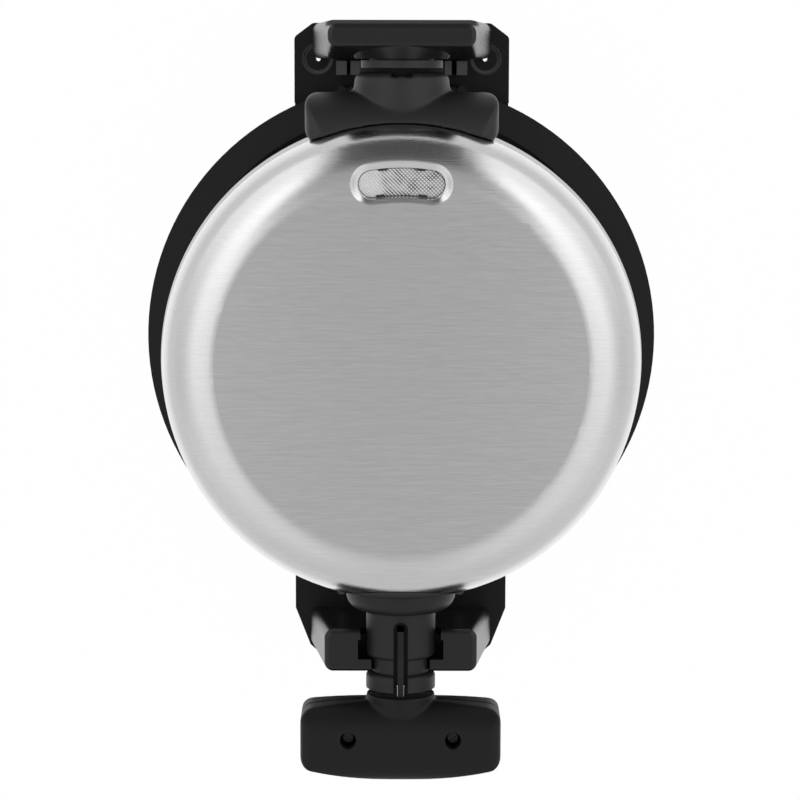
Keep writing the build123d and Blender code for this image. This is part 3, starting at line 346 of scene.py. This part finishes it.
def shape(name, mesh, made, body, angle=30.0):
    """Turn a bmesh into a piece that rides on a body and wears a finish, smooth but for its sharp edges."""
    bmesh.ops.recalc_face_normals(mesh, faces=mesh.faces)
    piece = put(name, bpy.data.meshes.new(name))
    mesh.to_mesh(piece.data)
    mesh.free()
    piece.data.materials.append(made.material)
    for face in piece.data.polygons:
        face.use_smooth = True
    piece.data.set_sharp_from_angle(angle=math.radians(angle))
    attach(piece, body)
    return piece


# The rolled rims of the covers.
# The sheet's cut edge is curled outwards into a bright round bead, just above and below the black gap
# between the covers.
RIM_R = 105.5 * MM
BEAD_R = 0.55 * MM
BEAD_H = 6.1 * MM
for name, body, side in (("upper_rim", "lid", 1), ("lower_rim", "head", -1)):
    bead = bmesh.new()
    ring = bmesh.ops.create_circle(bead, segments=10, radius=BEAD_R)["verts"]
    bmesh.ops.rotate(bead, verts=ring, cent=(0, 0, 0), matrix=Matrix.Rotation(math.pi / 2, 3, "X"))
    bmesh.ops.translate(bead, verts=ring, vec=(RIM_R, HEAD_Y, AXIS_Z + side * BEAD_H))
    bmesh.ops.spin(bead, geom=bead.verts[:] + bead.edges[:], cent=(0, HEAD_Y, 0), axis=(0, 0, 1),
                   angle=2 * math.pi, steps=180, use_merge=True)
    shape(name, bead, brushed, body)

# Frame rings, grids, heaters, reflectors and thermostats inside the covers.
# The rings are phenolic, the grids are die-cast aluminium with a dark non-stick coat, the heaters are
# steel tubes, and the reflectors are thin aluminium sheet.
phenolic = finish("phenolic", Base_Color=grey(0.018), Roughness=0.5)
bump(phenolic, phenolic.stretched((1200, 1200, 1200)), 0.04 * MM)
dress(phenolic, "upper_frame", "lower_frame")

non_stick = finish("non_stick", Base_Color=grey(0.035), Roughness=0.42, Metallic=0.3)
grain(non_stick, scale=3500, smoothest=0.34, roughest=0.54, relief=0.05 * MM)
dress(non_stick, "upper_grid", "lower_grid")

heater_skin = finish("heater_skin", Base_Color=grey(0.3), Roughness=0.45, Metallic=1.0)
feed(heater_skin, "Roughness", heater_skin.stretched((400, 400, 400)) * 0.2 + 0.35)
dress(heater_skin, "upper_heater", "lower_heater")

mill_sheet = finish("mill_sheet", Base_Color=grey(0.75), Roughness=0.35, Metallic=1.0)
feed(mill_sheet, "Roughness", mill_sheet.stretched((30, 900, 900)) * 0.2 + 0.25)
dress(mill_sheet, "upper_reflector", "lower_reflector")

thermostat_case = finish("thermostat_case", Base_Color=grey(0.55), Roughness=0.35, Metallic=1.0)
feed(thermostat_case, "Roughness", thermostat_case.stretched((700, 700, 700)) * 0.2 + 0.25)
dress(thermostat_case, "upper_thermostat", "lower_thermostat")

# The front collar and shaft.
# It is a heat-proof black moulding in two halves with a fine satin texture. Its colour is painted darker on
# the shaft than on the collar, as shade over the light that the shaft's fillets catch.
COLLAR_EDGE_Y = (-104.5 * MM, -100.5 * MM)
collar_black = finish("collar_black", Base_Color=grey(0.009), Roughness=0.4, Specular_IOR_Level=0.35)
grain(collar_black, scale=2200, smoothest=0.36, roughest=0.48, relief=0.05 * MM)
_, collar_y, _ = collar_black.place()
# Painted shade: the shaft ahead of the collar is coloured darker to hold back the light on its fillets.
collar_vs_shaded_shaft = (collar_y - HEAD_Y).step(*COLLAR_EDGE_Y)
feed(collar_black, "Base Color", collar_black.blend(collar_vs_shaded_shaft, grey(0.009), grey(0.035)))
dress(collar_black, "upper_shaft", "lower_shaft")

# The rear housings and the trunnion.
# They are heat-proof black mouldings with a fine satin texture. The housings' corners run softly into
# each other, as in a tool cut with a ball-nosed cutter.
HOUSING_CELL = 0.6 * MM
HOUSING_PASSES = 14
housing_black = finish("housing_black", Base_Color=grey(0.017), Roughness=0.4, Specular_IOR_Level=0.4)
grain(housing_black, scale=2200, smoothest=0.36, roughest=0.48, relief=0.05 * MM)
dress(housing_black, "trunnion")


def moulded(node, made, body, cell, passes):
    """Copy of a black plastic node, with the softly blended edges and hollows of a real moulding."""
    joined = bmesh.new()
    joined.from_mesh(nodes[node].data)
    bmesh.ops.remove_doubles(joined, verts=joined.verts, dist=0.01 * MM)
    rough = put(node + "_rough", bpy.data.meshes.new(node + "_rough"))
    joined.to_mesh(rough.data)
    joined.free()
    even = rough.modifiers.new("even", "REMESH")
    even.mode = "VOXEL"
    even.voxel_size = cell
    soft = bmesh.new()
    soft.from_mesh(rough.evaluated_get(bpy.context.evaluated_depsgraph_get()).data)
    bpy.data.objects.remove(rough)
    for _ in range(passes):
        bmesh.ops.smooth_vert(soft, verts=soft.verts, factor=0.5,
                              use_axis_x=True, use_axis_y=True, use_axis_z=True)
    piece = shape(node + "_moulding", soft, made, body, angle=60.0)
    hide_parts(node)
    return piece


moulded("upper_housing", housing_black, "lid", HOUSING_CELL, HOUSING_PASSES)
moulded("lower_housing", housing_black, "head", HOUSING_CELL, HOUSING_PASSES)

# The lens, the dished edge of its pocket, and the lamps.
# The lens is moulded in clear plastic with rows of small pyramids, snaps into the cover with four dark
# catches, and sits over two small signal lamps.
LENS_ARC = 80 * MM
LENS_TURN = math.radians(18.4)
LENS_TOP = AXIS_Z + 39.4 * MM
POCKET_FLOOR = AXIS_Z + 38.0 * MM
COVER_FLAT_R = 80.6 * MM
COVER_CORNER_R = 24 * MM
COVER_CORNER_H = 18 * MM
ARC_STEPS = 28
END_STEPS = 20


def round_slot(profile):
    """Carry a profile round the bent slot: (outward, height) pairs, outward from the slot's middle line."""
    mesh = bmesh.new()
    head = Vector((0, HEAD_Y, 0))
    start = -LENS_TURN / 2
    middle = Vector((math.sin(start), math.cos(start), 0))
    line = [mesh.verts.new(head + middle * (LENS_ARC + out) + Vector((0, 0, up))) for out, up in profile]
    last = [mesh.edges.new(pair) for pair in zip(line, line[1:])]
    for side, centre, turn_by, count in (
        (1, head, -LENS_TURN, ARC_STEPS),
        (1, None, -math.pi, END_STEPS),
        (-1, head, LENS_TURN, ARC_STEPS),
        (-1, None, -math.pi, END_STEPS),
    ):
        if centre is None:
            away = side * LENS_TURN / 2
            centre = head + Vector((math.sin(away), math.cos(away), 0)) * LENS_ARC
        points = list({v for edge in last for v in edge.verts})
        swept = bmesh.ops.spin(mesh, geom=points + last, cent=centre, axis=(0, 0, 1),
                               angle=turn_by, steps=count)
        last = [item for item in swept["geom_last"] if isinstance(item, bmesh.types.BMEdge)]
    bmesh.ops.remove_doubles(mesh, verts=mesh.verts, dist=0.01 * MM)
    return mesh


def cover_height(x, y):
    """Height of the upper cover's outer skin above the turning axis, near its flat top."""
    outside = max(math.hypot(x, y - HEAD_Y) - COVER_FLAT_R, 0.0)
    return COVER_CORNER_H + (COVER_CORNER_R**2 - outside**2) ** 0.5


# The dish's profile: millimetres outwards, and the share of the way up from the pocket's floor.
DISH = (
    (9.3, 1.0), (9.0, 0.97), (8.6, 0.9), (8.1, 0.79), (7.6, 0.68),
    (7.1, 0.58), (6.6, 0.5), (6.2, 0.44), (5.98, 0.41), (5.95, 0.0),
)
DISH_EDGE = 0.02 * MM
DISH_FOOT = POCKET_FLOOR + 0.1 * MM
DISH_WALL_SHARE = 0.45
FRONT_REACH = 7 * MM
FRONT_SHALLOW = 0.55
dish = round_slot([(out * MM, share) for out, share in DISH])
for point in dish.verts:
    edge = AXIS_Z + cover_height(point.co.x, point.co.y) + DISH_EDGE
    inwards = LENS_ARC - math.hypot(point.co.x, point.co.y - HEAD_Y)
    shallow = 0.0
    if point.co.z > DISH_WALL_SHARE:
        shallow = max(0.0, min(1.0, inwards / FRONT_REACH)) * FRONT_SHALLOW
    point.co.z = DISH_FOOT + (edge - DISH_FOOT) * (1 - (1 - point.co.z) * (1 - shallow))
shape("pocket_dish", dish, brushed, "lid")

PITCH = 1.15 * MM
LIT_FADE = 0.75
PATCH_LEAST = 0.62
diagonal = PITCH * 2**0.5
lens_clear = finish("lens_clear", Base_Color=grey(0.75), Roughness=0.12)
lens_x, lens_y, _ = lens_clear.place()
rising = (lens_x + lens_y) / diagonal
falling = (lens_x - lens_y) / diagonal
# Painted shade: the valleys between the pyramids are coloured dark, less towards the lit left end, and
# unevenly in patches.
towards_right = lens_x.step(-4 * MM, 6 * MM, 0.35, 0.9)
valley_shade = falling.from_ridge().step(0.24, 0.44) * towards_right
valley_shade = valley_shade.most(rising.from_ridge().step(0.2, 0.42))
lit_end = lens_x.step(-6 * MM, -11 * MM)
patches = lens_clear.stretched((160, 260, 1), detail=1.0).step(0.4, 0.65)
depth = valley_shade * (1 - lit_end * LIT_FADE) * (PATCH_LEAST + patches * (1 - PATCH_LEAST))
feed(lens_clear, "Base Color", lens_clear.blend(depth, grey(0.6), grey(0.006)))

# The lens's profile, in millimetres: outwards, and down from its top. A flange holds it under the cover.
LENS_PROFILE = (
    (0.0, 0.0), (4.6, 0.0), (5.4, 0.15), (5.85, 0.7), (5.85, 2.6), (7.8, 2.6), (7.8, 3.6), (0.0, 3.6),
)
lens = round_slot([(out * MM, LENS_TOP - down * MM) for out, down in LENS_PROFILE])
lens = shape("lens_body", lens, lens_clear, "lid")
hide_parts("lamp_lens")

ROWS = 40
PYRAMID_H = 0.32 * MM
PATTERN_HALF_W = 4.75 * MM
PATTERN_Z = LENS_TOP + 0.02 * MM
pyramids = bmesh.new()
bmesh.ops.create_grid(pyramids, x_segments=ROWS, y_segments=ROWS, size=ROWS * PITCH / 2)
bmesh.ops.rotate(pyramids, verts=pyramids.verts, cent=(0, 0, 0), matrix=Matrix.Rotation(math.pi / 4, 3, "Z"))
bmesh.ops.translate(pyramids, verts=pyramids.verts, vec=(0, HEAD_Y + LENS_ARC, PATTERN_Z))


def inside_slot(spot, reach):
    """Whether a point lies within a distance of the bent slot's middle line."""
    across = Vector((spot.x, spot.y - HEAD_Y))
    angle = max(-LENS_TURN / 2, min(LENS_TURN / 2, math.atan2(across.x, across.y)))
    nearest = Vector((math.sin(angle), math.cos(angle))) * LENS_ARC
    return (across - nearest).length < reach


outside = [face for face in pyramids.faces if not inside_slot(face.calc_center_median(), PATTERN_HALF_W)]
bmesh.ops.delete(pyramids, geom=outside, context="FACES")
bmesh.ops.poke(pyramids, faces=pyramids.faces, offset=PYRAMID_H)
shape("lens_pyramids", pyramids, lens_clear, "lid")

CATCH_SIZE = (3.8 * MM, 0.9 * MM, 1.0 * MM)
CATCH_OUT = 5.4 * MM
CATCH_DOWN = 0.3 * MM
CATCH_BEVEL = 0.2 * MM
REAR_CATCH_TURN = 5.5
FRONT_CATCH_TURN = 7.0
catch_black = finish("catch_black", Base_Color=grey(0.02), Roughness=0.4)
bump(catch_black, catch_black.stretched((1500, 1500, 1500)), 0.03 * MM)
catches = bmesh.new()
for turned, outward in (
    (-REAR_CATCH_TURN, CATCH_OUT),
    (REAR_CATCH_TURN, CATCH_OUT),
    (-FRONT_CATCH_TURN, -CATCH_OUT),
    (FRONT_CATCH_TURN, -CATCH_OUT),
):
    tab = bmesh.ops.create_cube(catches, size=1.0)["verts"]
    bmesh.ops.scale(catches, verts=tab, vec=CATCH_SIZE)
    bmesh.ops.translate(catches, verts=tab, vec=(0, LENS_ARC + outward, 0))
    about_head = Matrix.Rotation(math.radians(-turned), 3, "Z")
    bmesh.ops.rotate(catches, verts=tab, cent=(0, 0, 0), matrix=about_head)
    bmesh.ops.translate(catches, verts=tab, vec=(0, HEAD_Y, LENS_TOP - CATCH_DOWN))
bmesh.ops.bevel(catches, geom=catches.edges[:], offset=CATCH_BEVEL, affect="EDGES",
                segments=2, profile=0.5, material=-1)
shape("lens_catches", catches, catch_black, "lid")

lamp_glass = finish("lamp_glass", Base_Color=(0.7, 0.4, 0.25, 1.0), Roughness=0.1)
feed(lamp_glass, "Roughness", lamp_glass.stretched((600, 600, 600)) * 0.1 + 0.05)
dress(lamp_glass, "signal_lamps")

# Hidden screws, pins and clip, and the tongue.
# The fasteners are plated steel. The tongue is blanked from sheet, blackened, and brushed along its length.
plated = finish("plated_steel", Base_Color=grey(0.3), Roughness=0.35, Metallic=1.0)
feed(plated, "Roughness", plated.stretched((900, 900, 900)) * 0.2 + 0.25)
dress(plated, "post_screws", "bottom_screws", "hinge_pin", "pivot_pin", "trunnion_clip")
tongue_steel = finish("tongue_steel", Base_Color=grey(0.03), Roughness=0.45, Metallic=0.8)
feed(tongue_steel, "Roughness", tongue_steel.stretched((900, 60, 900)) * 0.2 + 0.3)
dress(tongue_steel, "handle_tongue")

# The folding handle.
# Two black shells, soft to the touch, are screwed together from above. The walls of their slot stand
# close beside the tongue.
HANDLE_CELL = 0.5 * MM
HANDLE_PASSES = 12
SLOT_HALF = 1.5 * MM
SLOT_NEAR = (1.2 * MM, 2.3 * MM)
SLOT_ABOVE = 0.6 * MM
SLOT_BEFORE = 1.0 * MM
handle_black = finish("handle_black", Base_Color=grey(0.006), Roughness=0.5, Specular_IOR_Level=0.25)
grain(handle_black, scale=2000, smoothest=0.42, roughest=0.54, relief=0.05 * MM)
tongue_low, tongue_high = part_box("handle_tongue")
for node in ("handle_top", "handle_bottom"):
    shell = moulded(node, handle_black, "handle", HANDLE_CELL, HANDLE_PASSES)
    for point in shell.data.vertices:
        beside = SLOT_NEAR[0] < abs(point.co.x) < SLOT_NEAR[1]
        within = point.co.z < tongue_high[2] + SLOT_ABOVE and point.co.y > tongue_low[1] - SLOT_BEFORE
        if beside and within:
            point.co.x = math.copysign(SLOT_HALF, point.co.x)

# The handle's two screws.
# They are pan heads with a cross recess, at the foot of their deep round holes, coloured near black as
# painted shade.
SCREW_HEAD_R = 3.1 * MM
SCREW_HEAD_H = 2.4 * MM
SCREW_ROUNDING = 0.9 * MM
SHANK_R = 1.4 * MM
CROSS_LEN = 3.6 * MM
CROSS_W = 0.8 * MM
CROSS_DEPTH = 1.2 * MM
CROSS_TURN = math.radians(38)
screw_low, screw_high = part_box("handle_screws")
screw_x = screw_high[0] - SCREW_HEAD_R
screw_y = (screw_low[1] + screw_high[1]) / 2
screw_top = screw_high[2]
head_foot = screw_top - SCREW_HEAD_H
# Painted shade: the heads' near-black colour stands in for the shade at the foot of the deep holes.
screw_shade_steel = finish("screw_shade_black_steel", Base_Color=grey(0.04), Roughness=0.3, Metallic=1.0)
feed(screw_shade_steel, "Roughness", screw_shade_steel.stretched((1500, 1500, 1500)) * 0.25 + 0.15)
screws = bmesh.new()
for side in (-1, 1):
    shank = bmesh.ops.create_cone(screws, cap_ends=True, segments=24, radius1=SHANK_R, radius2=SHANK_R,
                                  depth=head_foot - screw_low[2])["verts"]
    bmesh.ops.translate(screws, verts=shank, vec=(side * screw_x, screw_y, (head_foot + screw_low[2]) / 2))
    pan = bmesh.ops.create_cone(screws, cap_ends=True, segments=40, radius1=SCREW_HEAD_R,
                                radius2=SCREW_HEAD_R, depth=SCREW_HEAD_H)["verts"]
    bmesh.ops.translate(screws, verts=pan, vec=(side * screw_x, screw_y, screw_top - SCREW_HEAD_H / 2))
    top_rim = []
    for edge in screws.edges:
        if all(abs(v.co.z - screw_top) < 0.01 * MM and v.co.x * side > 0 for v in edge.verts):
            top_rim.append(edge)
    bmesh.ops.bevel(screws, geom=top_rim, offset=SCREW_ROUNDING, affect="EDGES",
                    segments=4, profile=0.5, material=-1)
screws = shape("handle_screw_heads", screws, screw_shade_steel, "handle")
crosses = bmesh.new()
for side in (-1, 1):
    for length, width in ((CROSS_LEN, CROSS_W), (CROSS_W, CROSS_LEN)):
        bar = bmesh.ops.create_cube(crosses, size=1.0)["verts"]
        bmesh.ops.scale(crosses, verts=bar, vec=(length, width, 2 * CROSS_DEPTH))
        turned = Matrix.Rotation(CROSS_TURN * side, 3, "Z")
        bmesh.ops.rotate(crosses, verts=bar, cent=(0, 0, 0), matrix=turned)
        bmesh.ops.translate(crosses, verts=bar, vec=(side * screw_x, screw_y, screw_top))
cutter = put("cross_cutter", bpy.data.meshes.new("cross_cutter"))
crosses.to_mesh(cutter.data)
crosses.free()
recess = screws.modifiers.new("recess", "BOOLEAN")
recess.object = cutter
recess.operation = "DIFFERENCE"
recess.use_self = True
cut_mesh = bpy.data.meshes.new_from_object(screws.evaluated_get(bpy.context.evaluated_depsgraph_get()))
screws.modifiers.clear()
screws.data = cut_mesh
bpy.data.objects.remove(cutter)
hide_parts("handle_screws")
